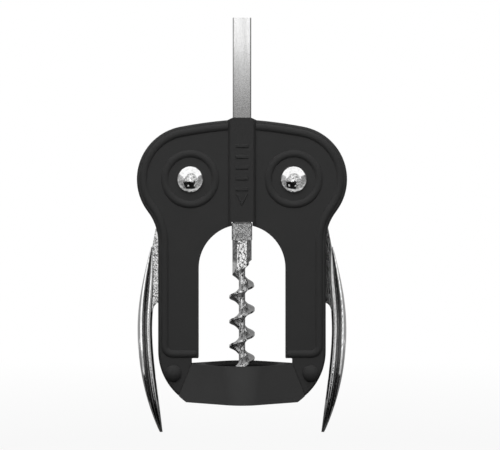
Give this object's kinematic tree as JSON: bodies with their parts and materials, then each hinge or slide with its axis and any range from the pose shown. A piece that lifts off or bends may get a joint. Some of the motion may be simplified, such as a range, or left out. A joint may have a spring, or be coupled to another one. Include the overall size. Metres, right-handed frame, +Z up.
{
  "type": "wing corkscrew",
  "caption": "Wing corkscrew: geared side levers on a flat coated frame drive a square toothed bar with an open worm down through a collar that sits on a bottle's neck.",
  "frame": {"origin": "on the worm's axis, at the seat for the bottle's lip inside the collar", "axes": "+Z up along the rack bar, +X to the right across the levers, front facing -Y"},
  "size_m": [0.0838, 0.0406, 0.1653],
  "materials": {
    "coated_sheet": "satin black coating",
    "collar": "satin",
    "coated_rivet": "satin black coating",
    "bright_rivet": "polished",
    "lever_chrome": "polished",
    "bar_steel": "satin, mottled",
    "worm_steel": "bright plated",
    "pin_steel": "satin",
    "washer": "satin"
  },
  "bodies": {
    "frame": {"front_plate": "coated_sheet", "rear_plate": "coated_sheet", "neck_collar": "collar", "left_pivot_pin": "bright_rivet", "right_pivot_pin": "bright_rivet", "left_pivot_cap": "bright_rivet", "right_pivot_cap": "bright_rivet", "left_leg_rivet": "coated_rivet", "right_leg_rivet": "coated_rivet", "left_front_washer": "washer", "right_front_washer": "washer", "left_rear_washer": "washer", "right_rear_washer": "washer"},
    "rack": {"rack_bar": "bar_steel", "end_block": "bar_steel", "bar_pin": "pin_steel", "worm_pin": "pin_steel", "worm": "worm_steel"},
    "left_lever": {"left_lever": "lever_chrome"},
    "right_lever": {"right_lever": "lever_chrome"}
  },
  "joints": [
    {"name": "rack_slide", "type": "slide", "parent": "frame", "child": "rack", "axis": [0, 0, -1], "range_m": [0, 0.04]},
    {"name": "left_lever_pivot", "type": "hinge", "parent": "frame", "child": "left_lever", "pos_m": [-0.0206, 0, 0.0805], "axis": [0, 1, 0], "range_deg": [0, 127.5]},
    {"name": "right_lever_pivot", "type": "hinge", "parent": "frame", "child": "right_lever", "pos_m": [0.0206, 0, 0.0805], "axis": [0, -1, 0], "range_deg": [0, 127.5]}
  ],
  "couplings": [
    {"joint": "left_lever_pivot", "follows": "rack_slide", "rad_per_m": 55.556},
    {"joint": "right_lever_pivot", "follows": "rack_slide", "rad_per_m": 55.556}
  ]
}
